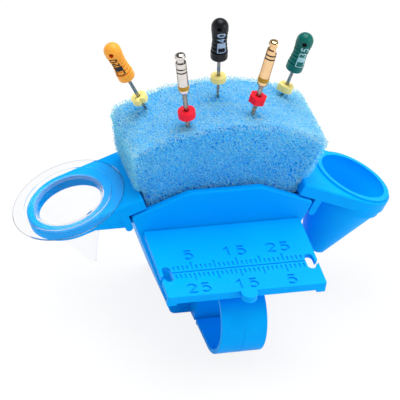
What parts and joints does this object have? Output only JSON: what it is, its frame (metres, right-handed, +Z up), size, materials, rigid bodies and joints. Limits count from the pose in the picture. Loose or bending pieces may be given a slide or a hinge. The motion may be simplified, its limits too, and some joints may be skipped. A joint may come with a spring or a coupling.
{
  "type": "handheld endodontic file organizer",
  "caption": "Finger-worn organizer: foam block for root canal files in a moulded well, sloping ruler plate, clear gel cup in a ring arm and a tapered reservoir cup.",
  "frame": {"origin": "centre of the finger ring's round stretch, midway across the band", "axes": "+X along the finger through the ring and across the front from the gel cup to the reservoir, +Y from the ring back into the foam well, +Z up"},
  "size_m": [0.0836, 0.0452, 0.0663],
  "materials": {
    "blue_moulding": "satin moulded, azure blue",
    "clear_cup": "clear, glossy",
    "blue_foam": "open-cell foam, sky blue",
    "orange_grip": null,
    "black_grip": null,
    "green_grip": null,
    "silver_metal": "bright turned metal",
    "gold_metal": "bright gilt metal",
    "amber_band": "glossy amber",
    "steel_blade": "fine ground steel",
    "yellow_stop": "satin silicone, pale yellow",
    "red_stop": "satin silicone, red"
  },
  "bodies": {
    "holder": {"holder_body": "blue_moulding", "ruler_plate": "blue_moulding", "foam_insert": "blue_foam", "orange_handle": "orange_grip", "orange_blade": "steel_blade", "silver_shank": "silver_metal", "silver_band": "amber_band", "silver_blade": "steel_blade", "black_handle": "black_grip", "black_blade": "steel_blade", "gold_shank": "gold_metal", "gold_band": "amber_band", "gold_blade": "steel_blade", "green_handle": "green_grip", "green_blade": "steel_blade"},
    "gel_cup_carrier": {"gel_cup_arm": "blue_moulding", "gel_cup": "clear_cup"},
    "reservoir": {"reservoir_arm": "blue_moulding"},
    "orange_stop": {"orange_stop": "yellow_stop"},
    "silver_stop": {"silver_stop": "red_stop"},
    "black_stop": {"black_stop": "yellow_stop"},
    "gold_stop": {"gold_stop": "red_stop"},
    "green_stop": {"green_stop": "yellow_stop"}
  },
  "joints": [
    {"name": "gel_cup_arm_slide", "type": "slide", "parent": "holder", "child": "gel_cup_carrier", "axis": [0, 1, 0], "range_m": [0, 0.019]},
    {"name": "reservoir_arm_slide", "type": "slide", "parent": "holder", "child": "reservoir", "axis": [0, 1, 0], "range_m": [0, 0.019]},
    {"name": "orange_stop_slide", "type": "slide", "parent": "holder", "child": "orange_stop", "axis": [-0.5, 0, 0.866], "range_m": [-0.0011, 0.005]},
    {"name": "silver_stop_slide", "type": "slide", "parent": "holder", "child": "silver_stop", "axis": [-0.1908, 0, 0.9816], "range_m": [-0.0014, 0.0037]},
    {"name": "black_stop_slide", "type": "slide", "parent": "holder", "child": "black_stop", "axis": [-0.0732, 0, 0.9973], "range_m": [-0.0031, 0.0034]},
    {"name": "gold_stop_slide", "type": "slide", "parent": "holder", "child": "gold_stop", "axis": [0.1616, 0, 0.9869], "range_m": [-0.00215, 0.0022]},
    {"name": "green_stop_slide", "type": "slide", "parent": "holder", "child": "green_stop", "axis": [0.2672, 0, 0.9636], "range_m": [-0.00035, 0.0028]}
  ]
}
